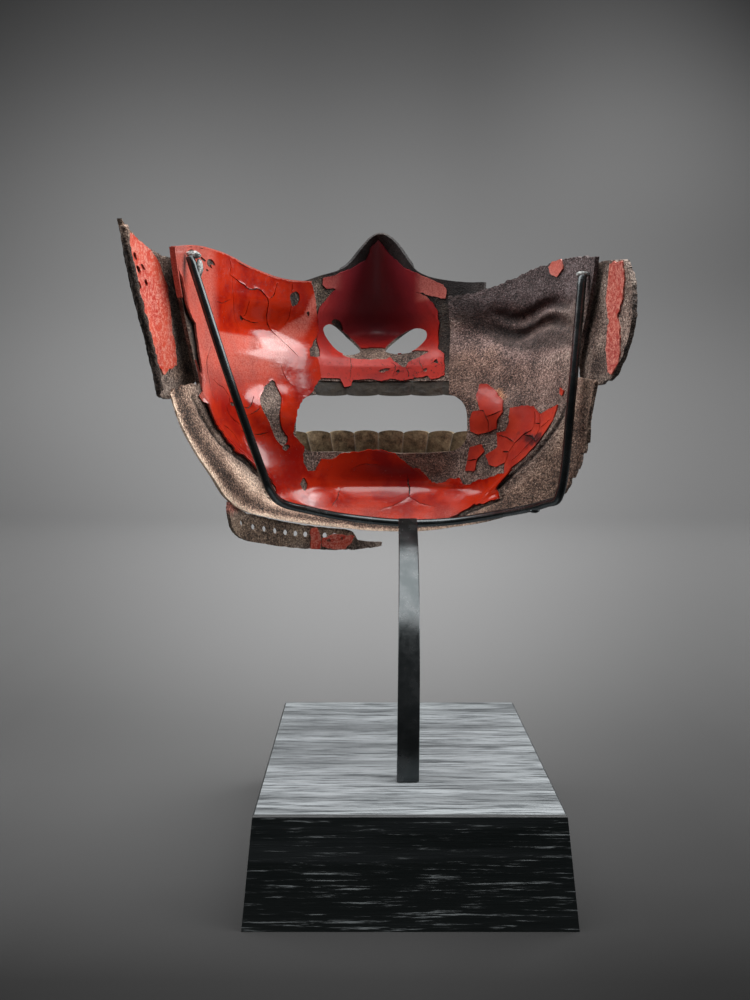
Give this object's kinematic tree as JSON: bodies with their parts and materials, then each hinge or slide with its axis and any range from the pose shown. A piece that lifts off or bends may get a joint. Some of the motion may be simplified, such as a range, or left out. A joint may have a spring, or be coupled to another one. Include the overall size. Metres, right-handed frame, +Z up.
{
  "type": "samurai face guard on display stand",
  "caption": "Half-face guard of beaten, lacquered iron with nose, teeth, ear flanges and pierced throat strip, held open side out by a bent wire on a flat bar over a tapered block.",
  "frame": {"origin": "middle of the base block's underside", "axes": "+Z up; +Y the way the face looks, so the guard's hollow side faces -Y; +X towards the guard's right cheek, at the right when its hollow side is seen"},
  "size_m": [0.1679, 0.1441, 0.2439],
  "materials": {
    "face_plate": "rusted iron with worn glossy red lacquer",
    "nose_plate": "glossy dark red lacquer over iron",
    "teeth": "dark tarnished metal",
    "flanges": "granular brown-grey rust with remains of red lacquer",
    "holder": "black satin wire and bar",
    "base": "open-grained wood stained black"
  },
  "bodies": {
    "root": {"face_plate": "face_plate", "nose_plate": "nose_plate", "upper_teeth": "teeth", "lower_teeth": "teeth", "ear_flange_left": "flanges", "ear_flange_right": "flanges", "throat_flange": "flanges", "holder_frame": "holder", "base_block": "base"}
  },
  "joints": []
}
